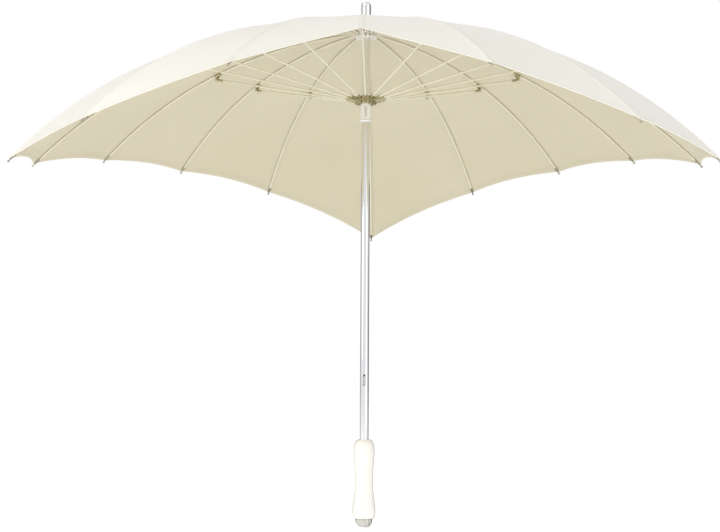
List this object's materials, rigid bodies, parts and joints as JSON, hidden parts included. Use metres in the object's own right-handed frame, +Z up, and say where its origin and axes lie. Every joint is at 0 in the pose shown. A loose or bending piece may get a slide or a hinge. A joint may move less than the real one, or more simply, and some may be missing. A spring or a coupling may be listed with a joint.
{
  "type": "parasol",
  "caption": "Heart-shaped stick parasol, shown open: a plain ivory cloth canopy on thin ribs and stretchers, a runner on a straight metal shaft, and a waisted handle with a domed cap.",
  "frame": {"origin": "centre of the flat at the foot of the handle's cap, on the shaft's axis", "axes": "+Z up the shaft towards the ferrule, -Y towards the notch of the heart, +X to the right when seen from the notch"},
  "size_m": [1.09, 1.0288, 0.85],
  "materials": {
    "ivory_cloth": "plain woven polyester, ivory outside and ecru underneath",
    "ivory_rod": "ivory coated glass-fibre rod",
    "brushed_aluminium": "drawn tube, lightly polished",
    "dark_brass": "aged olive brass",
    "chrome": "bright plated",
    "ivory_gloss": "turned and lacquered ivory"
  },
  "bodies": {
    "shaft": {"shaft_tube": "brushed_aluminium", "top_notch": "dark_brass", "canopy": "ivory_cloth", "top_rosette": "ivory_cloth", "ferrule": "chrome", "handle_grip": "ivory_gloss", "handle_cap": "chrome"},
    "runner": {"runner_sleeve": "brushed_aluminium", "runner_crown": "dark_brass"},
    "lower_catch": {"lower_catch": "chrome"},
    "rib_upper_01": {"rib_upper_01": "ivory_rod"},
    "rib_upper_02": {"rib_upper_02": "ivory_rod"},
    "rib_upper_03": {"rib_upper_03": "ivory_rod"},
    "rib_upper_04": {"rib_upper_04": "ivory_rod"},
    "rib_upper_05": {"rib_upper_05": "ivory_rod"},
    "rib_upper_06": {"rib_upper_06": "ivory_rod"},
    "rib_upper_07": {"rib_upper_07": "ivory_rod"},
    "rib_upper_08": {"rib_upper_08": "ivory_rod"},
    "rib_upper_09": {"rib_upper_09": "ivory_rod"},
    "rib_upper_10": {"rib_upper_10": "ivory_rod"},
    "rib_upper_11": {"rib_upper_11": "ivory_rod"},
    "rib_upper_12": {"rib_upper_12": "ivory_rod"},
    "rib_upper_13": {"rib_upper_13": "ivory_rod"},
    "rib_upper_14": {"rib_upper_14": "ivory_rod"},
    "rib_upper_15": {"rib_upper_15": "ivory_rod"},
    "rib_upper_16": {"rib_upper_16": "ivory_rod"},
    "rib_lower_01": {"rib_lower_01": "ivory_rod"},
    "rib_lower_02": {"rib_lower_02": "ivory_rod"},
    "rib_lower_03": {"rib_lower_03": "ivory_rod"},
    "rib_lower_04": {"rib_lower_04": "ivory_rod"},
    "rib_lower_05": {"rib_lower_05": "ivory_rod"},
    "rib_lower_06": {"rib_lower_06": "ivory_rod"},
    "rib_lower_07": {"rib_lower_07": "ivory_rod"},
    "rib_lower_08": {"rib_lower_08": "ivory_rod"},
    "rib_lower_09": {"rib_lower_09": "ivory_rod"},
    "rib_lower_10": {"rib_lower_10": "ivory_rod"},
    "rib_lower_11": {"rib_lower_11": "ivory_rod"},
    "rib_lower_12": {"rib_lower_12": "ivory_rod"},
    "rib_lower_13": {"rib_lower_13": "ivory_rod"},
    "rib_lower_14": {"rib_lower_14": "ivory_rod"},
    "rib_lower_15": {"rib_lower_15": "ivory_rod"},
    "rib_lower_16": {"rib_lower_16": "ivory_rod"},
    "stretcher_01": {"stretcher_01": "ivory_rod"},
    "stretcher_02": {"stretcher_02": "ivory_rod"},
    "stretcher_03": {"stretcher_03": "ivory_rod"},
    "stretcher_04": {"stretcher_04": "ivory_rod"},
    "stretcher_05": {"stretcher_05": "ivory_rod"},
    "stretcher_06": {"stretcher_06": "ivory_rod"},
    "stretcher_07": {"stretcher_07": "ivory_rod"},
    "stretcher_08": {"stretcher_08": "ivory_rod"},
    "stretcher_09": {"stretcher_09": "ivory_rod"},
    "stretcher_10": {"stretcher_10": "ivory_rod"},
    "stretcher_11": {"stretcher_11": "ivory_rod"},
    "stretcher_12": {"stretcher_12": "ivory_rod"},
    "stretcher_13": {"stretcher_13": "ivory_rod"},
    "stretcher_14": {"stretcher_14": "ivory_rod"},
    "stretcher_15": {"stretcher_15": "ivory_rod"},
    "stretcher_16": {"stretcher_16": "ivory_rod"}
  },
  "joints": [
    {"name": "runner_slide", "type": "slide", "parent": "shaft", "child": "runner", "axis": [0, 0, -1], "range_m": [0, 0.43378], "deforming": ["canopy"]},
    {"name": "catch_press", "type": "slide", "parent": "shaft", "child": "lower_catch", "axis": [0, 1, 0], "range_m": [0, 0.0025], "stiffness_N_per_m": 400, "springref_m": -0.0005},
    {"name": "rib_hinge_01", "type": "hinge", "parent": "shaft", "child": "rib_upper_01", "pos_m": [0, -0.013, 0.7965], "axis": [1, 0, 0], "range_deg": [0, 77.49]},
    {"name": "rib_flex_01", "type": "hinge", "parent": "rib_upper_01", "child": "rib_lower_01", "pos_m": [0, -0.28171, 0.75057], "axis": [1, 0, 0], "range_deg": [-12.92, 0]},
    {"name": "stretcher_hinge_01", "type": "hinge", "parent": "rib_upper_01", "child": "stretcher_01", "pos_m": [0, -0.27964, 0.74494], "axis": [1, 0, 0], "range_deg": [-153.82, 0]},
    {"name": "rib_hinge_02", "type": "hinge", "parent": "shaft", "child": "rib_upper_02", "pos_m": [0.00498, -0.01201, 0.7965], "axis": [0.9239, 0.3827, 0], "range_deg": [0, 77.49]},
    {"name": "rib_flex_02", "type": "hinge", "parent": "rib_upper_02", "child": "rib_lower_02", "pos_m": [0.10781, -0.26027, 0.75057], "axis": [0.9239, 0.3827, 0], "range_deg": [-16.98, 0]},
    {"name": "stretcher_hinge_02", "type": "hinge", "parent": "rib_upper_02", "child": "stretcher_02", "pos_m": [0.10701, -0.25835, 0.74494], "axis": [0.9239, 0.3827, 0], "range_deg": [-153.82, 0]},
    {"name": "rib_hinge_03", "type": "hinge", "parent": "shaft", "child": "rib_upper_03", "pos_m": [0.00919, -0.00919, 0.7965], "axis": [0.7071, 0.7071, 0], "range_deg": [0, 77.49]},
    {"name": "rib_flex_03", "type": "hinge", "parent": "rib_upper_03", "child": "rib_lower_03", "pos_m": [0.1992, -0.1992, 0.75057], "axis": [0.7071, 0.7071, 0], "range_deg": [-20.87, 0]},
    {"name": "stretcher_hinge_03", "type": "hinge", "parent": "rib_upper_03", "child": "stretcher_03", "pos_m": [0.19773, -0.19773, 0.74494], "axis": [0.7071, 0.7071, 0], "range_deg": [-153.82, 0]},
    {"name": "rib_hinge_04", "type": "hinge", "parent": "shaft", "child": "rib_upper_04", "pos_m": [0.01201, -0.00498, 0.7965], "axis": [0.3827, 0.9239, 0], "range_deg": [0, 77.49]},
    {"name": "rib_flex_04", "type": "hinge", "parent": "rib_upper_04", "child": "rib_lower_04", "pos_m": [0.26027, -0.10781, 0.75057], "axis": [0.3827, 0.9239, 0], "range_deg": [-22.39, 0]},
    {"name": "stretcher_hinge_04", "type": "hinge", "parent": "rib_upper_04", "child": "stretcher_04", "pos_m": [0.25835, -0.10701, 0.74494], "axis": [0.3827, 0.9239, 0], "range_deg": [-153.82, 0]},
    {"name": "rib_hinge_05", "type": "hinge", "parent": "shaft", "child": "rib_upper_05", "pos_m": [0.013, 0, 0.7965], "axis": [0, 1, 0], "range_deg": [0, 77.49]},
    {"name": "rib_flex_05", "type": "hinge", "parent": "rib_upper_05", "child": "rib_lower_05", "pos_m": [0.28171, 0, 0.75057], "axis": [0, 1, 0], "range_deg": [-21.08, 0]},
    {"name": "stretcher_hinge_05", "type": "hinge", "parent": "rib_upper_05", "child": "stretcher_05", "pos_m": [0.27964, 0, 0.74494], "axis": [0, 1, 0], "range_deg": [-153.82, 0]},
    {"name": "rib_hinge_06", "type": "hinge", "parent": "shaft", "child": "rib_upper_06", "pos_m": [0.01201, 0.00498, 0.7965], "axis": [-0.3827, 0.9239, 0], "range_deg": [0, 77.49]},
    {"name": "rib_flex_06", "type": "hinge", "parent": "rib_upper_06", "child": "rib_lower_06", "pos_m": [0.26027, 0.10781, 0.75057], "axis": [-0.3827, 0.9239, 0], "range_deg": [-19.13, 0]},
    {"name": "stretcher_hinge_06", "type": "hinge", "parent": "rib_upper_06", "child": "stretcher_06", "pos_m": [0.25835, 0.10701, 0.74494], "axis": [-0.3827, 0.9239, 0], "range_deg": [-153.82, 0]},
    {"name": "rib_hinge_07", "type": "hinge", "parent": "shaft", "child": "rib_upper_07", "pos_m": [0.00919, 0.00919, 0.7965], "axis": [-0.7071, 0.7071, 0], "range_deg": [0, 77.49]},
    {"name": "rib_flex_07", "type": "hinge", "parent": "rib_upper_07", "child": "rib_lower_07", "pos_m": [0.1992, 0.1992, 0.75057], "axis": [-0.7071, 0.7071, 0], "range_deg": [-18.88, 0]},
    {"name": "stretcher_hinge_07", "type": "hinge", "parent": "rib_upper_07", "child": "stretcher_07", "pos_m": [0.19773, 0.19773, 0.74494], "axis": [-0.7071, 0.7071, 0], "range_deg": [-153.82, 0]},
    {"name": "rib_hinge_08", "type": "hinge", "parent": "shaft", "child": "rib_upper_08", "pos_m": [0.00498, 0.01201, 0.7965], "axis": [-0.9239, 0.3827, 0], "range_deg": [0, 77.49]},
    {"name": "rib_flex_08", "type": "hinge", "parent": "rib_upper_08", "child": "rib_lower_08", "pos_m": [0.10781, 0.26027, 0.75057], "axis": [-0.9239, 0.3827, 0], "range_deg": [-20.1, 0]},
    {"name": "stretcher_hinge_08", "type": "hinge", "parent": "rib_upper_08", "child": "stretcher_08", "pos_m": [0.10701, 0.25835, 0.74494], "axis": [-0.9239, 0.3827, 0], "range_deg": [-153.82, 0]},
    {"name": "rib_hinge_09", "type": "hinge", "parent": "shaft", "child": "rib_upper_09", "pos_m": [0, 0.013, 0.7965], "axis": [-1, 0, 0], "range_deg": [0, 77.49]},
    {"name": "rib_flex_09", "type": "hinge", "parent": "rib_upper_09", "child": "rib_lower_09", "pos_m": [0, 0.28171, 0.75057], "axis": [-1, 0, 0], "range_deg": [-24.05, 0]},
    {"name": "stretcher_hinge_09", "type": "hinge", "parent": "rib_upper_09", "child": "stretcher_09", "pos_m": [0, 0.27964, 0.74494], "axis": [-1, 0, 0], "range_deg": [-153.82, 0]},
    {"name": "rib_hinge_10", "type": "hinge", "parent": "shaft", "child": "rib_upper_10", "pos_m": [-0.00498, 0.01201, 0.7965], "axis": [-0.9239, -0.3827, 0], "range_deg": [0, 77.49]},
    {"name": "rib_flex_10", "type": "hinge", "parent": "rib_upper_10", "child": "rib_lower_10", "pos_m": [-0.10781, 0.26027, 0.75057], "axis": [-0.9239, -0.3827, 0], "range_deg": [-20.1, 0]},
    {"name": "stretcher_hinge_10", "type": "hinge", "parent": "rib_upper_10", "child": "stretcher_10", "pos_m": [-0.10701, 0.25835, 0.74494], "axis": [-0.9239, -0.3827, 0], "range_deg": [-153.82, 0]},
    {"name": "rib_hinge_11", "type": "hinge", "parent": "shaft", "child": "rib_upper_11", "pos_m": [-0.00919, 0.00919, 0.7965], "axis": [-0.7071, -0.7071, 0], "range_deg": [0, 77.49]},
    {"name": "rib_flex_11", "type": "hinge", "parent": "rib_upper_11", "child": "rib_lower_11", "pos_m": [-0.1992, 0.1992, 0.75057], "axis": [-0.7071, -0.7071, 0], "range_deg": [-18.88, 0]},
    {"name": "stretcher_hinge_11", "type": "hinge", "parent": "rib_upper_11", "child": "stretcher_11", "pos_m": [-0.19773, 0.19773, 0.74494], "axis": [-0.7071, -0.7071, 0], "range_deg": [-153.82, 0]},
    {"name": "rib_hinge_12", "type": "hinge", "parent": "shaft", "child": "rib_upper_12", "pos_m": [-0.01201, 0.00498, 0.7965], "axis": [-0.3827, -0.9239, 0], "range_deg": [0, 77.49]},
    {"name": "rib_flex_12", "type": "hinge", "parent": "rib_upper_12", "child": "rib_lower_12", "pos_m": [-0.26027, 0.10781, 0.75057], "axis": [-0.3827, -0.9239, 0], "range_deg": [-19.13, 0]},
    {"name": "stretcher_hinge_12", "type": "hinge", "parent": "rib_upper_12", "child": "stretcher_12", "pos_m": [-0.25835, 0.10701, 0.74494], "axis": [-0.3827, -0.9239, 0], "range_deg": [-153.82, 0]},
    {"name": "rib_hinge_13", "type": "hinge", "parent": "shaft", "child": "rib_upper_13", "pos_m": [-0.013, 0, 0.7965], "axis": [0, -1, 0], "range_deg": [0, 77.49]},
    {"name": "rib_flex_13", "type": "hinge", "parent": "rib_upper_13", "child": "rib_lower_13", "pos_m": [-0.28171, 0, 0.75057], "axis": [0, -1, 0], "range_deg": [-21.08, 0]},
    {"name": "stretcher_hinge_13", "type": "hinge", "parent": "rib_upper_13", "child": "stretcher_13", "pos_m": [-0.27964, 0, 0.74494], "axis": [0, -1, 0], "range_deg": [-153.82, 0]},
    {"name": "rib_hinge_14", "type": "hinge", "parent": "shaft", "child": "rib_upper_14", "pos_m": [-0.01201, -0.00498, 0.7965], "axis": [0.3827, -0.9239, 0], "range_deg": [0, 77.49]},
    {"name": "rib_flex_14", "type": "hinge", "parent": "rib_upper_14", "child": "rib_lower_14", "pos_m": [-0.26027, -0.10781, 0.75057], "axis": [0.3827, -0.9239, 0], "range_deg": [-22.39, 0]},
    {"name": "stretcher_hinge_14", "type": "hinge", "parent": "rib_upper_14", "child": "stretcher_14", "pos_m": [-0.25835, -0.10701, 0.74494], "axis": [0.3827, -0.9239, 0], "range_deg": [-153.82, 0]},
    {"name": "rib_hinge_15", "type": "hinge", "parent": "shaft", "child": "rib_upper_15", "pos_m": [-0.00919, -0.00919, 0.7965], "axis": [0.7071, -0.7071, 0], "range_deg": [0, 77.49]},
    {"name": "rib_flex_15", "type": "hinge", "parent": "rib_upper_15", "child": "rib_lower_15", "pos_m": [-0.1992, -0.1992, 0.75057], "axis": [0.7071, -0.7071, 0], "range_deg": [-20.87, 0]},
    {"name": "stretcher_hinge_15", "type": "hinge", "parent": "rib_upper_15", "child": "stretcher_15", "pos_m": [-0.19773, -0.19773, 0.74494], "axis": [0.7071, -0.7071, 0], "range_deg": [-153.82, 0]},
    {"name": "rib_hinge_16", "type": "hinge", "parent": "shaft", "child": "rib_upper_16", "pos_m": [-0.00498, -0.01201, 0.7965], "axis": [0.9239, -0.3827, 0], "range_deg": [0, 77.49]},
    {"name": "rib_flex_16", "type": "hinge", "parent": "rib_upper_16", "child": "rib_lower_16", "pos_m": [-0.10781, -0.26027, 0.75057], "axis": [0.9239, -0.3827, 0], "range_deg": [-16.98, 0]},
    {"name": "stretcher_hinge_16", "type": "hinge", "parent": "rib_upper_16", "child": "stretcher_16", "pos_m": [-0.10701, -0.25835, 0.74494], "axis": [0.9239, -0.3827, 0], "range_deg": [-153.82, 0]}
  ],
  "couplings": [
    {"joint": "rib_hinge_01", "follows": "runner_slide", "rad_per_m": 3.1171},
    {"joint": "rib_flex_01", "follows": "runner_slide", "rad_per_m": -0.51918},
    {"joint": "stretcher_hinge_01", "follows": "runner_slide", "rad_per_m": -6.1881},
    {"joint": "rib_hinge_02", "follows": "runner_slide", "rad_per_m": 3.1171},
    {"joint": "rib_flex_02", "follows": "runner_slide", "rad_per_m": -0.68251},
    {"joint": "stretcher_hinge_02", "follows": "runner_slide", "rad_per_m": -6.1881},
    {"joint": "rib_hinge_03", "follows": "runner_slide", "rad_per_m": 3.1171},
    {"joint": "rib_flex_03", "follows": "runner_slide", "rad_per_m": -0.83899},
    {"joint": "stretcher_hinge_03", "follows": "runner_slide", "rad_per_m": -6.1881},
    {"joint": "rib_hinge_04", "follows": "runner_slide", "rad_per_m": 3.1171},
    {"joint": "rib_flex_04", "follows": "runner_slide", "rad_per_m": -0.90025},
    {"joint": "stretcher_hinge_04", "follows": "runner_slide", "rad_per_m": -6.1881},
    {"joint": "rib_hinge_05", "follows": "runner_slide", "rad_per_m": 3.1171},
    {"joint": "rib_flex_05", "follows": "runner_slide", "rad_per_m": -0.84736},
    {"joint": "stretcher_hinge_05", "follows": "runner_slide", "rad_per_m": -6.1881},
    {"joint": "rib_hinge_06", "follows": "runner_slide", "rad_per_m": 3.1171},
    {"joint": "rib_flex_06", "follows": "runner_slide", "rad_per_m": -0.76905},
    {"joint": "stretcher_hinge_06", "follows": "runner_slide", "rad_per_m": -6.1881},
    {"joint": "rib_hinge_07", "follows": "runner_slide", "rad_per_m": 3.1171},
    {"joint": "rib_flex_07", "follows": "runner_slide", "rad_per_m": -0.75896},
    {"joint": "stretcher_hinge_07", "follows": "runner_slide", "rad_per_m": -6.1881},
    {"joint": "rib_hinge_08", "follows": "runner_slide", "rad_per_m": 3.1171},
    {"joint": "rib_flex_08", "follows": "runner_slide", "rad_per_m": -0.80785},
    {"joint": "stretcher_hinge_08", "follows": "runner_slide", "rad_per_m": -6.1881},
    {"joint": "rib_hinge_09", "follows": "runner_slide", "rad_per_m": 3.1171},
    {"joint": "rib_flex_09", "follows": "runner_slide", "rad_per_m": -0.96699},
    {"joint": "stretcher_hinge_09", "follows": "runner_slide", "rad_per_m": -6.1881},
    {"joint": "rib_hinge_10", "follows": "runner_slide", "rad_per_m": 3.1171},
    {"joint": "rib_flex_10", "follows": "runner_slide", "rad_per_m": -0.80785},
    {"joint": "stretcher_hinge_10", "follows": "runner_slide", "rad_per_m": -6.1881},
    {"joint": "rib_hinge_11", "follows": "runner_slide", "rad_per_m": 3.1171},
    {"joint": "rib_flex_11", "follows": "runner_slide", "rad_per_m": -0.75896},
    {"joint": "stretcher_hinge_11", "follows": "runner_slide", "rad_per_m": -6.1881},
    {"joint": "rib_hinge_12", "follows": "runner_slide", "rad_per_m": 3.1171},
    {"joint": "rib_flex_12", "follows": "runner_slide", "rad_per_m": -0.76905},
    {"joint": "stretcher_hinge_12", "follows": "runner_slide", "rad_per_m": -6.1881},
    {"joint": "rib_hinge_13", "follows": "runner_slide", "rad_per_m": 3.1171},
    {"joint": "rib_flex_13", "follows": "runner_slide", "rad_per_m": -0.84736},
    {"joint": "stretcher_hinge_13", "follows": "runner_slide", "rad_per_m": -6.1881},
    {"joint": "rib_hinge_14", "follows": "runner_slide", "rad_per_m": 3.1171},
    {"joint": "rib_flex_14", "follows": "runner_slide", "rad_per_m": -0.90025},
    {"joint": "stretcher_hinge_14", "follows": "runner_slide", "rad_per_m": -6.1881},
    {"joint": "rib_hinge_15", "follows": "runner_slide", "rad_per_m": 3.1171},
    {"joint": "rib_flex_15", "follows": "runner_slide", "rad_per_m": -0.83899},
    {"joint": "stretcher_hinge_15", "follows": "runner_slide", "rad_per_m": -6.1881},
    {"joint": "rib_hinge_16", "follows": "runner_slide", "rad_per_m": 3.1171},
    {"joint": "rib_flex_16", "follows": "runner_slide", "rad_per_m": -0.68251},
    {"joint": "stretcher_hinge_16", "follows": "runner_slide", "rad_per_m": -6.1881}
  ]
}
